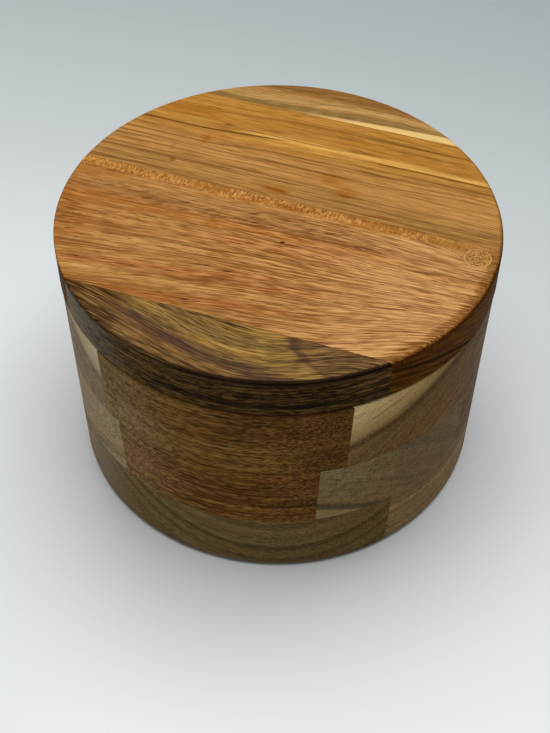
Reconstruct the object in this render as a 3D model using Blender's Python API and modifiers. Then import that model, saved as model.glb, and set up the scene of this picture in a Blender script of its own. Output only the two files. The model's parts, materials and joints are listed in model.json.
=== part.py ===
"""Round wooden salt box with a lid that swivels on a pivot near its edge.

The drum is three boards, one on another. Each board is glued up from strips
whose joints run nearly along X, turned round and bored out. The lid is a glued
panel of the same width, and each board's grain lies at its own slight turn.

The origin is the centre of the underside, +Z is up, and +X points from the
centre to the lid's pivot. All lengths are in metres.
"""

import math

import bmesh
import bpy

# Sizes of the drum, which is turned a little wider at the rim than at the foot
BODY_DIAMETER = 0.1084
BODY_SPREAD = 0.0006
WALL = 0.0092
WELL_FLOOR = 0.0085
WELL_FILLET = 0.0030
FOOT_ROUND = 0.0020
RIM_ROUND = 0.0005
BASE_BOARD = 0.0197
MIDDLE_BOARD = 0.0192
RIM_BOARD = 0.0217
GLUE_LINE = 0.0003

# Widths of the drum's strips, from the front of each board; the last is the rest
BASE_STRIPS = (0.0184, 0.0335, 0.0330)
MIDDLE_STRIPS = (0.0061, 0.0351, 0.0325)
RIM_STRIPS = (0.0091, 0.0316, 0.0330)

# How far the grain of each drum board is turned from X
BASE_GRAIN_TURN = math.radians(1.0)
MIDDLE_GRAIN_TURN = math.radians(0.4)
RIM_GRAIN_TURN = math.radians(1.5)

# Sizes of the lid; its strips are set out from the one that the pivot goes through
LID_OVERHANG = 0.0002
LID_THICKNESS = 0.0111
LID_MAIN_STRIP_BACK = 0.0056
LID_MAIN_STRIP = 0.0436
LID_REAR_STRIP = 0.0357
LID_TOP_ROUND = 0.0012
LID_UNDER_ROUND = 0.0004
LID_SEAM = 0.0003
LID_GRAIN_TURN = math.radians(-1.5)

# Sizes of the pivot
PLUG_DIAMETER = 0.0068
PLUG_CLEARANCE = 0.0003
LID_WEB = 0.0033
SCREW_HEAD_HEIGHT = 0.0021
SCREW_HEAD_ROUND = 0.0007
SCREW_HEAD_CLEARANCE = 0.0007
SCREW_SHANK_DIAMETER = 0.0035
SCREW_CLEARANCE = 0.0003
SCREW_BITE = 0.0150
SCREW_TIP = 0.0030
PLAIN_SHANK_BITE = 0.0020
THREAD_PITCH = 0.0014
THREAD_DEPTH = 0.0004
RECESS_WIDTH = 0.0007
RECESS_LENGTH = 0.0030
RECESS_DEPTH = 0.0012
WASHER_THICKNESS = 0.0005
WASHER_RIM_CLEARANCE = 0.0004
STACK_GAP = 0.0003
PILOT_TIP_ROOM = 0.0010

# Sizes of the closing magnets
MAGNET_DIAMETER = 0.0050
MAGNET_THICKNESS = 0.0030
MAGNET_ROUND = 0.0002
MAGNET_CLEARANCE = 0.0003

# How finely curves are divided
TURN_STEPS = 96
SMALL_TURN_STEPS = 32
ARC_STEPS = 3
SHARP_ANGLE = math.radians(30)
FLAT_ANGLE = math.radians(0.1)
AXIS_MERGE = 0.00001

# How far a cutter stands out past what it cuts
CUTTER_MARGIN = 0.0050

# Sizes that follow from those above
BODY_RADIUS = BODY_DIAMETER / 2
LID_RADIUS = BODY_RADIUS + BODY_SPREAD + LID_OVERHANG
WELL_RADIUS = BODY_RADIUS - WALL
MIDDLE_BOTTOM = BASE_BOARD + GLUE_LINE
RIM_BOTTOM = MIDDLE_BOTTOM + MIDDLE_BOARD + GLUE_LINE
RIM_TOP = RIM_BOTTOM + RIM_BOARD
LID_BOTTOM = RIM_TOP + LID_SEAM
WALL_MIDDLE = BODY_RADIUS - WALL / 2
SHANK_RADIUS = SCREW_SHANK_DIAMETER / 2
SHANK_HOLE_RADIUS = SHANK_RADIUS + SCREW_CLEARANCE
COUNTERBORE_RADIUS = PLUG_DIAMETER / 2 + PLUG_CLEARANCE
WASHER_BOTTOM = LID_BOTTOM + LID_WEB + STACK_GAP
HEAD_BOTTOM = WASHER_BOTTOM + WASHER_THICKNESS + STACK_GAP
PLUG_BOTTOM = HEAD_BOTTOM + SCREW_HEAD_HEIGHT + STACK_GAP
LID_TOP = LID_BOTTOM + LID_THICKNESS
MAGNET_POCKET_RADIUS = MAGNET_DIAMETER / 2 + MAGNET_CLEARANCE
MAGNET_POCKET_DEPTH = MAGNET_THICKNESS + MAGNET_CLEARANCE

# Which part of a strip a piece is, where the well cuts the strip in two
WHOLE = "whole"
LEFT = "left"
RIGHT = "right"

# The strips of each board from the front, and the pieces of each strip: name, part, colour
BASE_PIECES = (
    (("base_front_strip", WHOLE, (84, 68, 42)),),
    (("base_inner_front_strip", WHOLE, (112, 86, 56)),),
    (("base_inner_back_strip", WHOLE, (95, 72, 44)),),
    (("base_back_strip", WHOLE, (88, 66, 38)),),
)
MIDDLE_PIECES = (
    (("middle_front_segment", WHOLE, (92, 62, 34)),),
    (("middle_front_arc", WHOLE, (104, 92, 64)),),
    (
        ("middle_left_block", LEFT, (104, 84, 58)),
        ("middle_right_block", RIGHT, (98, 80, 58)),
    ),
    (("middle_back_arc", WHOLE, (100, 72, 42)),),
)
RIM_PIECES = (
    (("rim_front_segment", WHOLE, (96, 71, 42)),),
    (
        ("rim_front_left_block", LEFT, (132, 114, 80)),
        ("rim_front_right_block", RIGHT, (124, 98, 62)),
    ),
    (
        ("rim_left_block", LEFT, (112, 90, 62)),
        ("rim_right_block", RIGHT, (110, 88, 62)),
    ),
    (("rim_back_arc", WHOLE, (104, 76, 44)),),
)
LID_PIECES = (
    (("lid_front_strip", WHOLE, (92, 66, 36)),),
    (("lid_main_strip", WHOLE, (176, 122, 68)),),
    (("lid_rear_strip", WHOLE, (178, 130, 66)),),
    (("lid_back_strip", WHOLE, (166, 126, 78)),),
)

WOOD_ROUGHNESS = 0.5
STEEL = (176, 174, 168)
NICKEL = (196, 194, 190)
METAL_ROUGHNESS = 0.32


def clear_scene():
    """Remove every object and collection that the file starts with."""
    for item in list(bpy.data.objects):
        bpy.data.objects.remove(item, do_unlink=True)
    for group in list(bpy.data.collections):
        bpy.data.collections.remove(group)


def new_collection(name):
    """Add a collection under the scene's own."""
    group = bpy.data.collections.new(name)
    bpy.context.scene.collection.children.link(group)
    return group


def linear(channel):
    """Turn one 0 to 255 display value into the linear value a shader takes."""
    share = channel / 255
    if share <= 0.04045:
        return share / 12.92
    return ((share + 0.055) / 1.055) ** 2.4


def new_material(name, colour, roughness, metallic):
    """Make a plain Principled material from a 0 to 255 colour."""
    material = bpy.data.materials.new(name)
    material.use_nodes = True
    shader = material.node_tree.nodes["Principled BSDF"]
    red, green, blue = (linear(channel) for channel in colour)
    shader.inputs["Base Color"].default_value = (red, green, blue, 1)
    shader.inputs["Roughness"].default_value = roughness
    shader.inputs["Metallic"].default_value = metallic
    material.diffuse_color = (red, green, blue, 1)
    return material


def shade(mesh):
    """Shade a mesh smooth, with its real edges kept sharp."""
    mesh.shade_smooth()
    mesh.set_sharp_from_angle(angle=SHARP_ANGLE)


def place(name, mesh, group, location, parent=None):
    """Make an object from a mesh and put it in its collection and place."""
    item = bpy.data.objects.new(name, mesh)
    item.location = location
    item.parent = parent
    group.objects.link(item)
    return item


def as_cutter(item):
    """Mark an object as a cutter, which is drawn as wire and not rendered."""
    item.hide_render = True
    item.display_type = "WIRE"
    return item


def arc(centre, radius, first, last, steps):
    """Points of an arc in the profile plane, between two angles in degrees."""
    angles = [math.radians(first + (last - first) * i / steps) for i in range(steps + 1)]
    return [
        (centre[0] + radius * math.cos(angle), centre[1] + radius * math.sin(angle))
        for angle in angles
    ]


def disc_profile(radii, height, top_round, bottom_round):
    """Half outline of a round blank from the top down; a round of 0 is a square edge.

    radii are those of its foot and of its top.
    """
    foot_radius, top_radius = radii
    points = [(0, height)]
    upper = (top_radius - top_round, height - top_round)
    points += arc(upper, top_round, 90, 0, ARC_STEPS) if top_round else [upper]
    lower = (foot_radius - bottom_round, bottom_round)
    points += arc(lower, bottom_round, 0, -90, ARC_STEPS) if bottom_round else [lower]
    points += [(0, 0)]
    return points


def flatten_caps(mesh):
    """Make each flat end of a turned mesh one face, in place of a fan of triangles."""
    shape = bmesh.new()
    shape.from_mesh(mesh)
    bmesh.ops.dissolve_limit(
        shape, angle_limit=FLAT_ANGLE, verts=shape.verts, edges=shape.edges
    )
    shape.to_mesh(mesh)
    shape.free()


def turned_mesh(name, points, steps, closed=False):
    """Turn a profile round Z with a Screw modifier and keep the result as a mesh."""
    outline = bpy.data.meshes.new(name + "_outline")
    edges = [(i, i + 1) for i in range(len(points) - 1)]
    if closed:
        edges.append((len(points) - 1, 0))
    outline.from_pydata([(x, 0, z) for x, z in points], edges, [])
    lathe = bpy.data.objects.new(name + "_lathe", outline)
    bpy.context.scene.collection.objects.link(lathe)
    screw = lathe.modifiers.new("Turn", "SCREW")
    screw.axis = "Z"
    screw.angle = math.tau
    screw.steps = steps
    screw.render_steps = steps
    screw.use_merge_vertices = True
    screw.merge_threshold = AXIS_MERGE
    graph = bpy.context.evaluated_depsgraph_get()
    mesh = bpy.data.meshes.new_from_object(lathe.evaluated_get(graph))
    mesh.name = name
    bpy.data.objects.remove(lathe, do_unlink=True)
    bpy.data.meshes.remove(outline)
    flatten_caps(mesh)
    shade(mesh)
    return mesh


def cylinder_mesh(name, radius, height, steps):
    """A closed cylinder about Z, standing on the plane Z = 0."""
    shape = bmesh.new()
    bmesh.ops.create_cone(
        shape,
        cap_ends=True,
        segments=steps,
        radius1=radius,
        radius2=radius,
        depth=height,
    )
    bmesh.ops.translate(shape, verts=shape.verts, vec=(0, 0, height / 2))
    mesh = bpy.data.meshes.new(name)
    shape.to_mesh(mesh)
    shape.free()
    shade(mesh)
    return mesh


def box_mesh(name, low, high):
    """A box between two corners."""
    shape = bmesh.new()
    bmesh.ops.create_cube(shape, size=1)
    size = [b - a for a, b in zip(low, high)]
    centre = [(a + b) / 2 for a, b in zip(low, high)]
    bmesh.ops.scale(shape, verts=shape.verts, vec=size)
    bmesh.ops.translate(shape, verts=shape.verts, vec=centre)
    mesh = bpy.data.meshes.new(name)
    shape.to_mesh(mesh)
    shape.free()
    return mesh


def cut(item, cutter, operation="DIFFERENCE"):
    """Cut an object with another by a Boolean modifier."""
    boolean = item.modifiers.new(cutter.name, "BOOLEAN")
    boolean.operation = operation
    boolean.solver = "EXACT"
    boolean.object = cutter


def drum_radius(height):
    """Outer radius of the drum at a height."""
    return BODY_RADIUS + BODY_SPREAD * height / RIM_TOP


def drum_board(bottom, thickness, top_round, bottom_round):
    """Profile and blank of a drum board, which lies on the plane at its bottom."""
    radii = (drum_radius(bottom), drum_radius(bottom + thickness))
    profile = disc_profile(radii, thickness, top_round, bottom_round)
    return profile, (radii[1], thickness, bottom)


def drum_joints(widths):
    """Where the joints of a drum board lie, from the widths of its strips."""
    return [-BODY_RADIUS + sum(widths[: i + 1]) for i in range(len(widths))]


def lid_joints():
    """Where the lid's joints lie, across its own grain."""
    return [
        LID_MAIN_STRIP_BACK - LID_MAIN_STRIP,
        LID_MAIN_STRIP_BACK,
        LID_MAIN_STRIP_BACK + LID_REAR_STRIP,
    ]


def strip_spans(radius, joints):
    """Front and back of each strip, with half a glue line taken off at each joint."""
    reach = radius + CUTTER_MARGIN
    fronts = [-reach] + [joint + GLUE_LINE / 2 for joint in joints]
    backs = [joint - GLUE_LINE / 2 for joint in joints] + [reach]
    return list(zip(fronts, backs))


def strip_cutter(name, blank, span, side, group, parent):
    """The box that a strip, or one half of it, is sawn out of a blank with."""
    radius, thickness, bottom = blank
    reach = radius + CUTTER_MARGIN
    left = GLUE_LINE / 2 if side == RIGHT else -reach
    right = -GLUE_LINE / 2 if side == LEFT else reach
    low = (left, span[0], -CUTTER_MARGIN)
    high = (right, span[1], thickness + CUTTER_MARGIN)
    mesh = box_mesh(name + "_strip", low, high)
    return as_cutter(place(name + "_strip", mesh, group, (0, 0, bottom), parent))


def grain_guide(name, turn, group, location=(0, 0, 0), parent=None):
    """An empty that carries a board's saw cuts, turned as the board's grain is."""
    guide = bpy.data.objects.new(name, None)
    guide.location = location
    guide.rotation_euler = (0, 0, turn)
    guide.parent = parent
    group.objects.link(guide)
    return guide


def board(strips, joints, blank, profile, groups, holes, grain, pivot=None):
    """Saw one turned board into its pieces and bore each with the given cutters.

    blank is the board's radius, thickness and lower face. groups holds the
    collections of the pieces and of the cutters, and grain is the guide that
    its strips are sawn out by. The lid's pieces hang on its pivot.
    """
    radius, _, bottom = blank
    parts, cutters = groups
    offset = -WALL_MIDDLE if pivot else 0
    for strip, span in zip(strips, strip_spans(radius, joints)):
        for name, side, colour in strip:
            mesh = turned_mesh(name, profile, TURN_STEPS)
            mesh.materials.append(new_material(name, colour, WOOD_ROUGHNESS, 0))
            item = place(name, mesh, parts, (offset, 0, bottom), pivot)
            saw = strip_cutter(name, blank, span, side, cutters, grain)
            cut(item, saw, "INTERSECT")
            for hole in holes:
                cut(item, hole)


def well_cutter(cutters):
    """The salt well: a turned hollow with a small fillet round its floor.

    It stands half a step round, so that its corners miss those of the blanks.
    """
    top = RIM_TOP + CUTTER_MARGIN
    points = [(0, top), (WELL_RADIUS, top)]
    fillet_centre = (WELL_RADIUS - WELL_FILLET, WELL_FLOOR + WELL_FILLET)
    points += arc(fillet_centre, WELL_FILLET, 0, -90, ARC_STEPS)
    points += [(0, WELL_FLOOR)]
    mesh = turned_mesh("well", points, TURN_STEPS)
    well = as_cutter(place("well", mesh, cutters, (0, 0, 0)))
    well.rotation_euler = (0, 0, math.pi / TURN_STEPS)
    return well


def round_cutter(name, radius, low, high, x, cutters, parent=None):
    """A round hole about an upright axis, from one height to another."""
    mesh = cylinder_mesh(name, radius, high - low, SMALL_TURN_STEPS)
    return as_cutter(place(name, mesh, cutters, (x, 0, low), parent))


def drum(groups):
    """The three boards of the drum, with the well, the pilot hole and a pocket."""
    cutters = groups[1]
    well = well_cutter(cutters)
    above = RIM_TOP + CUTTER_MARGIN
    pilot = round_cutter(
        "pilot_hole",
        SHANK_HOLE_RADIUS,
        RIM_TOP - SCREW_BITE - PILOT_TIP_ROOM,
        above,
        WALL_MIDDLE,
        cutters,
    )
    pocket = round_cutter(
        "box_magnet_pocket",
        MAGNET_POCKET_RADIUS,
        RIM_TOP - MAGNET_POCKET_DEPTH,
        above,
        -WALL_MIDDLE,
        cutters,
    )
    base, blank = drum_board(0, BASE_BOARD, 0, FOOT_ROUND)
    grain = grain_guide("base_grain", BASE_GRAIN_TURN, cutters)
    board(BASE_PIECES, drum_joints(BASE_STRIPS), blank, base, groups, (well,), grain)
    holes = (well, pilot, pocket)
    middle, blank = drum_board(MIDDLE_BOTTOM, MIDDLE_BOARD, 0, 0)
    grain = grain_guide("middle_grain", MIDDLE_GRAIN_TURN, cutters)
    board(MIDDLE_PIECES, drum_joints(MIDDLE_STRIPS), blank, middle, groups, holes, grain)
    rim, blank = drum_board(RIM_BOTTOM, RIM_BOARD, RIM_ROUND, 0)
    grain = grain_guide("rim_grain", RIM_GRAIN_TURN, cutters)
    board(RIM_PIECES, drum_joints(RIM_STRIPS), blank, rim, groups, holes, grain)


def lid(groups, pivot):
    """The lid's four strips, bored for the pivot and the magnet."""
    cutters = groups[1]
    grain = grain_guide("lid_grain", LID_GRAIN_TURN, cutters, (-WALL_MIDDLE, 0, 0), pivot)
    above = LID_THICKNESS + CUTTER_MARGIN
    counterbore = round_cutter(
        "counterbore", COUNTERBORE_RADIUS, LID_WEB, above, 0, cutters, pivot
    )
    shank_hole = round_cutter(
        "shank_hole", SHANK_HOLE_RADIUS, -CUTTER_MARGIN, above, 0, cutters, pivot
    )
    pocket = round_cutter(
        "lid_magnet_pocket",
        MAGNET_POCKET_RADIUS,
        -CUTTER_MARGIN,
        MAGNET_POCKET_DEPTH,
        -2 * WALL_MIDDLE,
        cutters,
        pivot,
    )
    radii = (LID_RADIUS, LID_RADIUS)
    profile = disc_profile(radii, LID_THICKNESS, LID_TOP_ROUND, LID_UNDER_ROUND)
    blank = (LID_RADIUS, LID_THICKNESS, 0)
    holes = (counterbore, shank_hole, pocket)
    board(LID_PIECES, lid_joints(), blank, profile, groups, holes, grain, pivot)


def pivot_plug(parts, pivot):
    """The end-grain plug that closes the counterbore, flush with the lid."""
    mesh = cylinder_mesh("pivot_plug", PLUG_DIAMETER / 2, LID_TOP - PLUG_BOTTOM, SMALL_TURN_STEPS)
    mesh.materials.append(new_material("pivot_plug", (170, 120, 68), WOOD_ROUGHNESS, 0))
    place("pivot_plug", mesh, parts, (0, 0, PLUG_BOTTOM - LID_BOTTOM), pivot)


def screw_profile():
    """Half outline of the screw about its head's underside, from the top down."""
    head = COUNTERBORE_RADIUS - SCREW_HEAD_CLEARANCE
    core = SHANK_RADIUS - THREAD_DEPTH
    plain_end = RIM_TOP - HEAD_BOTTOM - PLAIN_SHANK_BITE
    tip = RIM_TOP - HEAD_BOTTOM - SCREW_BITE
    turns = int((plain_end - tip - SCREW_TIP) / THREAD_PITCH)
    points = [(0, SCREW_HEAD_HEIGHT)]
    crown = (head - SCREW_HEAD_ROUND, SCREW_HEAD_HEIGHT - SCREW_HEAD_ROUND)
    points += arc(crown, SCREW_HEAD_ROUND, 90, 0, ARC_STEPS)
    points += [(head, 0), (SHANK_RADIUS, 0), (SHANK_RADIUS, plain_end)]
    for turn in range(turns):
        start = plain_end - turn * THREAD_PITCH
        points += [(core, start - THREAD_PITCH / 2), (SHANK_RADIUS, start - THREAD_PITCH)]
    points += [(core, plain_end - (turns + 0.5) * THREAD_PITCH), (0, tip)]
    return points


def pivot_screw(groups):
    """The pan-head screw that the lid turns on, with a cross recess in its head."""
    parts, cutters = groups
    mesh = turned_mesh("pivot_screw", screw_profile(), SMALL_TURN_STEPS)
    mesh.materials.append(new_material("pivot_screw", STEEL, METAL_ROUGHNESS, 1))
    screw = place("pivot_screw", mesh, parts, (WALL_MIDDLE, 0, HEAD_BOTTOM))
    floor = SCREW_HEAD_HEIGHT - RECESS_DEPTH
    top = SCREW_HEAD_HEIGHT + RECESS_DEPTH
    for name, x, y in (
        ("recess_slot_a", RECESS_LENGTH / 2, RECESS_WIDTH / 2),
        ("recess_slot_b", RECESS_WIDTH / 2, RECESS_LENGTH / 2),
    ):
        slot = box_mesh(name, (-x, -y, floor), (x, y, top))
        cutter = as_cutter(place(name, slot, cutters, (0, 0, 0), screw))
        cut(screw, cutter)


def pivot_washer(parts):
    """The flat washer under the screw's head."""
    outer = COUNTERBORE_RADIUS - WASHER_RIM_CLEARANCE
    corners = [
        (outer, WASHER_THICKNESS),
        (outer, 0),
        (SHANK_HOLE_RADIUS, 0),
        (SHANK_HOLE_RADIUS, WASHER_THICKNESS),
    ]
    mesh = turned_mesh("pivot_washer", corners, SMALL_TURN_STEPS, closed=True)
    mesh.materials.append(new_material("pivot_washer", STEEL, METAL_ROUGHNESS, 1))
    place("pivot_washer", mesh, parts, (WALL_MIDDLE, 0, WASHER_BOTTOM))


def magnet(name, parts, location, parent=None):
    """One of the two disc magnets that hold the lid closed."""
    radii = (MAGNET_DIAMETER / 2, MAGNET_DIAMETER / 2)
    profile = disc_profile(radii, MAGNET_THICKNESS, MAGNET_ROUND, MAGNET_ROUND)
    mesh = turned_mesh(name, profile, SMALL_TURN_STEPS)
    mesh.materials.append(new_material(name, NICKEL, METAL_ROUGHNESS, 1))
    place(name, mesh, parts, location, parent)


def main():
    """Build the whole box."""
    clear_scene()
    parts = new_collection("salt_box")
    cutters = new_collection("cutters")
    groups = (parts, cutters)
    pivot = bpy.data.objects.new("lid_pivot", None)
    pivot.location = (WALL_MIDDLE, 0, LID_BOTTOM)
    parts.objects.link(pivot)
    drum(groups)
    lid(groups, pivot)
    pivot_plug(parts, pivot)
    pivot_screw(groups)
    pivot_washer(parts)
    magnet("box_magnet", parts, (-WALL_MIDDLE, 0, RIM_TOP - MAGNET_THICKNESS))
    magnet("lid_magnet", parts, (-2 * WALL_MIDDLE, 0, 0), pivot)


main()
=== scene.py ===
# %% [markdown]
# A round salt box is turned from three boards of glued acacia, and its lid
# swivels on one screw near the edge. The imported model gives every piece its
# size and place. This file gives each strip of wood its own finer mesh, with
# eased edges and closed glue lines, and a solid wood grain that runs through
# it, so that the top, the rounded edge and the side show one and the same tree.

import json
import math

import bmesh
import bpy
import numpy as np
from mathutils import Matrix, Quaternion, Vector

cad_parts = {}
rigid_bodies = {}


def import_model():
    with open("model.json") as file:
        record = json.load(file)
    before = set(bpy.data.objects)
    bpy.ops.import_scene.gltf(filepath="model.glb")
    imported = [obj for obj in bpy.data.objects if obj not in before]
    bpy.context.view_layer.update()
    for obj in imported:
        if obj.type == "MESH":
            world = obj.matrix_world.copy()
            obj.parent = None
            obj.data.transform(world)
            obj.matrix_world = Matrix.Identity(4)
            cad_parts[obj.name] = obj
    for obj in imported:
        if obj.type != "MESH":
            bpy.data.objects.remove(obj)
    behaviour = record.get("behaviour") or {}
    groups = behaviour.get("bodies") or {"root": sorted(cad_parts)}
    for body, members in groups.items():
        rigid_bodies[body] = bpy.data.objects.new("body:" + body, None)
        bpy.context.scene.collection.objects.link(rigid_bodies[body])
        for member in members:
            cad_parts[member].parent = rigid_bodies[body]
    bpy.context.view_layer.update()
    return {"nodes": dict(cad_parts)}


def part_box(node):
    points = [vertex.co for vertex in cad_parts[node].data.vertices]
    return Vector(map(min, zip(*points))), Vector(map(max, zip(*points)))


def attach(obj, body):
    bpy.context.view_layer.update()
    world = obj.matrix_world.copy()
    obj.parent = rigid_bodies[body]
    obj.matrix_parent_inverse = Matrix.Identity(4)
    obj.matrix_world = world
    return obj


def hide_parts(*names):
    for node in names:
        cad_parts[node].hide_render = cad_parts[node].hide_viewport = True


for item in list(bpy.data.objects):
    bpy.data.objects.remove(item)
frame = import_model()

# %% [markdown]
# Each board was glued up from strips before it was turned, and its grain lies
# at a slight turn of its own. A strip's two edges are easiest to find in its
# board's own frame, with x along the grain and y across it, so the packed
# node's corners are turned back by the grain's angle and measured there.

# %% Sizes and the boards' frames
MM = 0.001
BASE_TURN = math.radians(1.0)
MIDDLE_TURN = math.radians(0.4)
RIM_TURN = math.radians(1.5)
LID_TURN = math.radians(-1.5)
BODY, LID = "box", "lid"


def strip_edges(node, turn):
    """Front and back edge of a packed strip: the ends of y cos turn - x sin turn over its corners."""
    vertices = frame["nodes"][node].data.vertices
    flat = np.empty(len(vertices) * 3, np.float32)
    vertices.foreach_get("co", flat)
    x, y, _ = flat.reshape(-1, 3).astype(float).T
    across = y * math.cos(turn) - x * math.sin(turn)
    return across.min(), across.max()


def span(node):
    """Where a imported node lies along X, as its middle and its width."""
    low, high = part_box(node)
    return (low.x + high.x) / 2, high.x - low.x


base_corner, rim_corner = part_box("base_back_strip")[1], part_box("rim_back_arc")[1]
RIM_RADIUS = rim_corner.y
SPREAD = (rim_corner.y - base_corner.y) / (rim_corner.z - base_corner.z)
LID_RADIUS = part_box("lid_main_strip")[1].x
WELL_RADIUS = 45.0 * MM
WELL_FLOOR = 8.5 * MM
WELL_FILLET = 3.0 * MM
PIVOT_X, HEAD_WIDTH = span("pivot_screw")
MAGNET_X, MAGNET_WIDTH = span("box_magnet")
print("rim radius", round(RIM_RADIUS, 5), "spread", round(SPREAD, 4), "lid radius", round(LID_RADIUS, 4))


def drum_radius(height):
    """Outer radius of the drum at a height: it widens in a straight line toward the rim."""
    return RIM_RADIUS - SPREAD * (rim_corner.z - height)


# %% [markdown]
# A glued joint is a hairline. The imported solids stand 0.3 mm apart, so each
# piece here reaches a little way into that gap and leaves a line as thin as
# the real one. Machined edges are never sharp: the lid is eased by hand on a
# belt, a little more on one side than on the other, the foot is rounded, and
# the rim only has its burr taken off.

# %% One turned board
GLUE_REACH = 0.12 * MM
FOOT_ROUND = 2.0 * MM
RIM_ROUND = 0.5 * MM
MOUTH_ROUND = 0.5 * MM
LID_UNDER_ROUND = 0.4 * MM
LID_TOP_ROUND = 0.96 * MM
LID_TOP_SWING = 0.62 * MM
LID_SWING_CENTRE = math.radians(25)
ROUND_STEPS = 7
FLAT_MARGIN = 0.35 * MM
SHARP_ANGLE = math.radians(20)
MERGE_DISTANCE = 2e-6


def lid_round(angle):
    """The lid's top edge round: a mean radius plus a cosine of the angle from its fullest side."""
    return LID_TOP_ROUND + LID_TOP_SWING * np.cos(angle - LID_SWING_CENTRE)


def quarter(ring, height, radius, first, last):
    """Arc of a profile: ring + radius cos a and height + radius sin a, as a row for each station."""
    a = np.radians(np.linspace(first, last, ROUND_STEPS))
    return ring + radius * np.cos(a), height + radius * np.sin(a)


class Board:
    """A turned board: radii and heights of its two faces, rounds of its outer edges, and hollow.

    A round is a length, or a function of the angle round the board. The hollow
    is a list of (ring, height) corners from its mouth down.
    """

    def __init__(self, turn, radii, faces, foot_round, top_round, hollow=(), bore=0.0):
        self.turn = turn
        self.foot_radius, self.radius = radii
        self.foot, self.top = faces
        self.foot_round, self.top_round = foot_round, top_round
        self.hollow, self.bore = hollow, bore

    def rounds(self, angle):
        """Foot and top round at each angle, as columns."""
        angle = np.reshape(angle, (-1, 1)) + self.turn
        return [r(angle) if callable(r) else np.full_like(angle, r)
                for r in (self.foot_round, self.top_round)]

    def slope(self, low, high):
        """How much the side widens with each unit of height between the two rounds."""
        return (self.radius - self.foot_radius) / (self.top - high - self.foot - low)

    def profile(self, angle):
        """Rings and heights of the section's corners from foot to mouth, a row for each angle."""
        low, high = self.rounds(angle)
        flat = np.ones_like(low)
        step = self.slope(low, high) * FLAT_MARGIN
        foot = quarter(self.foot_radius - low, self.foot + low, low, -90, 0)
        crown = quarter(self.radius - high, self.top - high, high, 0, 90)
        rings = [self.foot_radius - low - FLAT_MARGIN, foot[0], self.foot_radius + step,
                 self.radius - step, crown[0], self.radius - high - FLAT_MARGIN]
        heights = [flat * self.foot, foot[1], self.foot + low + FLAT_MARGIN,
                   self.top - high - FLAT_MARGIN, crown[1], flat * self.top]
        for ring, height in self.hollow:
            rings.append(flat * ring)
            heights.append(flat * height)
        return np.hstack(rings), np.hstack(heights)

    def limits(self, ring, angle):
        """Lowest and highest wood at a ring: each face less what its round and the side take off."""
        low, high = self.rounds(angle)
        into_foot = np.clip((ring - self.foot_radius + low) / low, 0, 1)
        into_top = np.clip((ring - self.radius + high) / high, 0, 1)
        lowest = self.foot + low * (1 - np.sqrt(1 - into_foot**2))
        if self.radius > self.foot_radius:
            lowest = lowest + np.maximum(ring - self.foot_radius, 0) / self.slope(low, high)
        return lowest, self.top - high * (1 - np.sqrt(1 - into_top**2))


def corner(ring, height, radius, first, last):
    """A rounded corner of a hollow as a list of (ring, height)."""
    rings, heights = quarter(ring, height, radius, first, last)
    return list(zip(rings, heights))


# %% [markdown]
# The three drum boards and the lid board are now described once each. The base
# holds the floor of the well with its small fillet; the middle and rim boards
# are bored right through, and the rim's mouth is eased.

# %% The four boards
SAWN_EDGE = 0.05 * MM
base_low, base_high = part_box("base_front_strip")
middle_low, middle_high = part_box("middle_back_arc")
rim_low, rim_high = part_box("rim_back_arc")
lid_low, lid_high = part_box("lid_main_strip")

base_top = base_high.z + GLUE_REACH
base_hollow = [(WELL_RADIUS, base_top)] + corner(
    WELL_RADIUS - WELL_FILLET, WELL_FLOOR + WELL_FILLET, WELL_FILLET, 0, -90)
rim_mouth = corner(WELL_RADIUS + MOUTH_ROUND, rim_high.z - MOUTH_ROUND, MOUTH_ROUND, 90, 180)


def drum_board(turn, faces, foot_round, top_round, hollow, bore=0.0):
    """A board of the drum, whose outside follows the drum's widening side."""
    radii = [drum_radius(height) for height in faces]
    return Board(turn, radii, faces, foot_round, top_round, hollow, bore)


BASE = drum_board(BASE_TURN, (base_low.z, base_top), FOOT_ROUND, SAWN_EDGE, base_hollow)
faces = middle_low.z - GLUE_REACH, middle_high.z + GLUE_REACH
MIDDLE = drum_board(MIDDLE_TURN, faces, SAWN_EDGE, SAWN_EDGE,
                    [(WELL_RADIUS, faces[1]), (WELL_RADIUS, faces[0])], WELL_RADIUS)
faces = rim_low.z - GLUE_REACH, rim_high.z
RIM = drum_board(RIM_TURN, faces, SAWN_EDGE, RIM_ROUND,
                 rim_mouth + [(WELL_RADIUS, faces[0])], WELL_RADIUS)
TOP = Board(LID_TURN, (LID_RADIUS, LID_RADIUS), (lid_low.z, lid_high.z), LID_UNDER_ROUND, lid_round)
print("lid round runs from", round((LID_TOP_ROUND - LID_TOP_SWING) / MM, 2), "to",
      round((LID_TOP_ROUND + LID_TOP_SWING) / MM, 2), "mm")

# %% [markdown]
# Every strip is a row of upright slices. A slice runs from an inner to an outer
# point, seen from above, and each corner of the section sits where the slice
# crosses that corner's ring. Where a joint cuts the board short, the corners
# stop at the joint, no higher than the wood is there. The slices are worked out
# as whole arrays, joined into a skin, and closed by a flat face at each end.

# %% Slices into solids
TINY = 1e-12


def crossing(inner, outer, rings, side):
    """Share of the way along a slice at which it crosses each ring, kept within the slice.

    It solves |inner + share * (outer - inner)| = ring, a quadratic in the share.
    """
    step = outer - inner
    a = np.sum(step**2, 1, keepdims=True)
    b = np.sum(inner * step, 1, keepdims=True)
    c = np.sum(inner**2, 1, keepdims=True) - rings**2
    root = np.sqrt(np.maximum(b**2 - a * c, 0))
    return np.clip((side * root - b) / np.maximum(a, TINY), 0, 1)


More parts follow.
